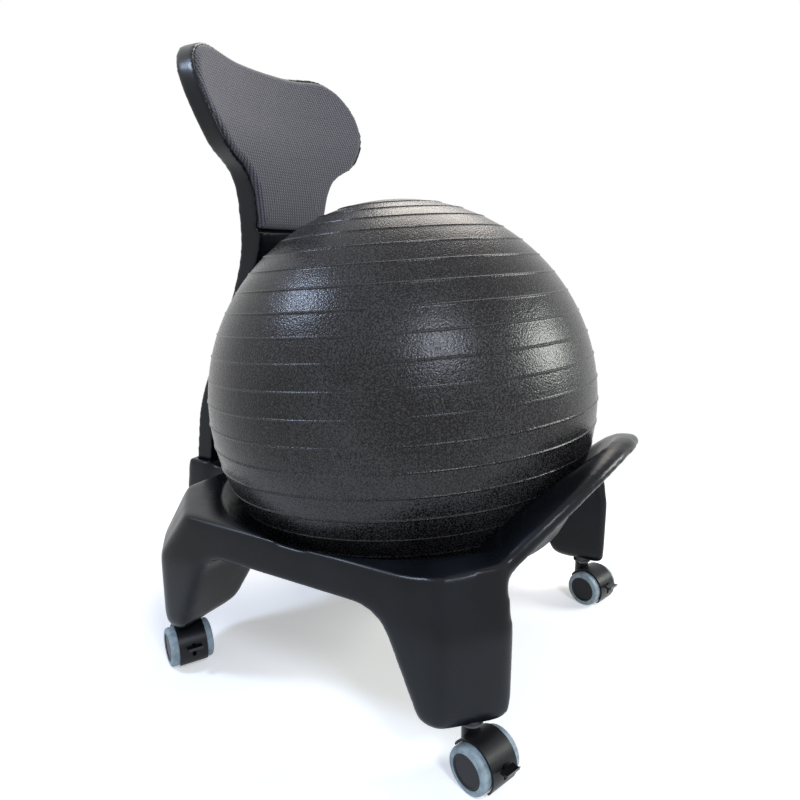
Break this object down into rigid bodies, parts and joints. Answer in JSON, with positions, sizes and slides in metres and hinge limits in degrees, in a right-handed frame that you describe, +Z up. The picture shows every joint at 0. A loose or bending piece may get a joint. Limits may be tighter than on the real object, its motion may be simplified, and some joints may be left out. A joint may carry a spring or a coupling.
{
  "type": "balance ball chair",
  "caption": "Balance ball chair: an inflated exercise ball held in a four-legged moulded base on twin-wheel braked casters, with a padded T-shaped backrest.",
  "frame": {"origin": "on the floor, under the middle of the four caster stems", "axes": "+Z up, -Y towards the front, where the sitter faces, so +Y towards the backrest and +X to the sitter's left"},
  "size_m": [0.5196, 0.6919, 0.7977],
  "materials": {
    "base_plastic": "satin, fine moulded grain",
    "backrest_plastic": "satin",
    "pad_fabric": "woven in fine ribs",
    "ball_vinyl": "burst-resistant vinyl, satin with a fine grain",
    "plug": "plain",
    "steel": "zinc plated",
    "bolt_steel": "black oxide",
    "brass": "plain",
    "board": "plywood",
    "sleeve_nylon": "plain",
    "hood_plastic": "satin",
    "hub_plastic": "satin",
    "tyre_grey": "soft, matt",
    "lever_plastic": "glossy"
  },
  "bodies": {
    "base": {"base_shell": "base_plastic", "caster_sleeves": "sleeve_nylon", "caster_stems": "steel", "clamp_bolts": "bolt_steel", "clamp_washers": "bolt_steel", "insert_nuts": "brass"},
    "backrest": {"backrest_shell": "backrest_plastic", "support_bar": "steel", "pad_board": "board", "pad_cushion": "pad_fabric", "pad_screws": "bolt_steel"},
    "ball": {"exercise_ball": "ball_vinyl", "air_plug": "plug"},
    "front_right_swivel": {"front_right_hood": "hood_plastic", "front_right_axle": "steel", "front_right_brake_pin": "steel"},
    "front_right_brake": {"front_right_brake_lever": "lever_plastic"},
    "front_right_wheel_a": {"front_right_wheel_a_hub": "hub_plastic", "front_right_wheel_a_tyre": "tyre_grey"},
    "front_right_wheel_b": {"front_right_wheel_b_hub": "hub_plastic", "front_right_wheel_b_tyre": "tyre_grey"},
    "front_left_swivel": {"front_left_hood": "hood_plastic", "front_left_axle": "steel", "front_left_brake_pin": "steel"},
    "front_left_brake": {"front_left_brake_lever": "lever_plastic"},
    "front_left_wheel_a": {"front_left_wheel_a_hub": "hub_plastic", "front_left_wheel_a_tyre": "tyre_grey"},
    "front_left_wheel_b": {"front_left_wheel_b_hub": "hub_plastic", "front_left_wheel_b_tyre": "tyre_grey"},
    "rear_right_swivel": {"rear_right_hood": "hood_plastic", "rear_right_axle": "steel", "rear_right_brake_pin": "steel"},
    "rear_right_brake": {"rear_right_brake_lever": "lever_plastic"},
    "rear_right_wheel_a": {"rear_right_wheel_a_hub": "hub_plastic", "rear_right_wheel_a_tyre": "tyre_grey"},
    "rear_right_wheel_b": {"rear_right_wheel_b_hub": "hub_plastic", "rear_right_wheel_b_tyre": "tyre_grey"},
    "rear_left_swivel": {"rear_left_hood": "hood_plastic", "rear_left_axle": "steel", "rear_left_brake_pin": "steel"},
    "rear_left_brake": {"rear_left_brake_lever": "lever_plastic"},
    "rear_left_wheel_a": {"rear_left_wheel_a_hub": "hub_plastic", "rear_left_wheel_a_tyre": "tyre_grey"},
    "rear_left_wheel_b": {"rear_left_wheel_b_hub": "hub_plastic", "rear_left_wheel_b_tyre": "tyre_grey"}
  },
  "joints": [
    {"name": "backrest_height", "type": "slide", "parent": "base", "child": "backrest", "axis": [0, -0.1392, 0.9903], "range_m": [0, 0.03]},
    {"name": "ball_lift_out", "type": "slide", "parent": "base", "child": "ball", "axis": [0, -0.5, 0.866], "range_m": [0, 0.3]},
    {"name": "front_right_swivel_turn", "type": "hinge", "parent": "base", "child": "front_right_swivel", "pos_m": [-0.2145, -0.2125, 0.05], "axis": [0, 0, 1], "continuous": true},
    {"name": "front_right_wheel_a_spin", "type": "hinge", "parent": "front_right_swivel", "child": "front_right_wheel_a", "pos_m": [-0.22101, -0.23141, 0.0255], "axis": [0.9455, -0.3256, 0], "continuous": true},
    {"name": "front_right_wheel_b_spin", "type": "hinge", "parent": "front_right_swivel", "child": "front_right_wheel_b", "pos_m": [-0.22101, -0.23141, 0.0255], "axis": [0.9455, -0.3256, 0], "continuous": true},
    {"name": "front_right_brake_press", "type": "hinge", "parent": "front_right_swivel", "child": "front_right_brake", "pos_m": [-0.22557, -0.24465, 0.032], "axis": [0.9455, -0.3256, 0], "range_deg": [0, 18]},
    {"name": "front_left_swivel_turn", "type": "hinge", "parent": "base", "child": "front_left_swivel", "pos_m": [0.2145, -0.2125, 0.05], "axis": [0, 0, 1], "continuous": true},
    {"name": "front_left_wheel_a_spin", "type": "hinge", "parent": "front_left_swivel", "child": "front_left_wheel_a", "pos_m": [0.20849, -0.23157, 0.0255], "axis": [0.9537, -0.3007, 0], "continuous": true},
    {"name": "front_left_wheel_b_spin", "type": "hinge", "parent": "front_left_swivel", "child": "front_left_wheel_b", "pos_m": [0.20849, -0.23157, 0.0255], "axis": [0.9537, -0.3007, 0], "continuous": true},
    {"name": "front_left_brake_press", "type": "hinge", "parent": "front_left_swivel", "child": "front_left_brake", "pos_m": [0.20428, -0.24493, 0.032], "axis": [0.9537, -0.3007, 0], "range_deg": [0, 18]},
    {"name": "rear_right_swivel_turn", "type": "hinge", "parent": "base", "child": "rear_right_swivel", "pos_m": [-0.2145, 0.2165, 0.05], "axis": [0, 0, 1], "continuous": true},
    {"name": "rear_right_wheel_a_spin", "type": "hinge", "parent": "rear_right_swivel", "child": "rear_right_wheel_a", "pos_m": [-0.22389, 0.19884, 0.0255], "axis": [0.8829, -0.4695, 0], "continuous": true},
    {"name": "rear_right_wheel_b_spin", "type": "hinge", "parent": "rear_right_swivel", "child": "rear_right_wheel_b", "pos_m": [-0.22389, 0.19884, 0.0255], "axis": [0.8829, -0.4695, 0], "continuous": true},
    {"name": "rear_right_brake_press", "type": "hinge", "parent": "rear_right_swivel", "child": "rear_right_brake", "pos_m": [-0.23046, 0.18648, 0.032], "axis": [0.8829, -0.4695, 0], "range_deg": [0, 18]},
    {"name": "rear_left_swivel_turn", "type": "hinge", "parent": "base", "child": "rear_left_swivel", "pos_m": [0.2145, 0.2165, 0.05], "axis": [0, 0, 1], "continuous": true},
    {"name": "rear_left_wheel_a_spin", "type": "hinge", "parent": "rear_left_swivel", "child": "rear_left_wheel_a", "pos_m": [0.20766, 0.19771, 0.0255], "axis": [0.9397, -0.342, 0], "continuous": true},
    {"name": "rear_left_wheel_b_spin", "type": "hinge", "parent": "rear_left_swivel", "child": "rear_left_wheel_b", "pos_m": [0.20766, 0.19771, 0.0255], "axis": [0.9397, -0.342, 0], "continuous": true},
    {"name": "rear_left_brake_press", "type": "hinge", "parent": "rear_left_swivel", "child": "rear_left_brake", "pos_m": [0.20287, 0.18455, 0.032], "axis": [0.9397, -0.342, 0], "range_deg": [0, 18]}
  ]
}
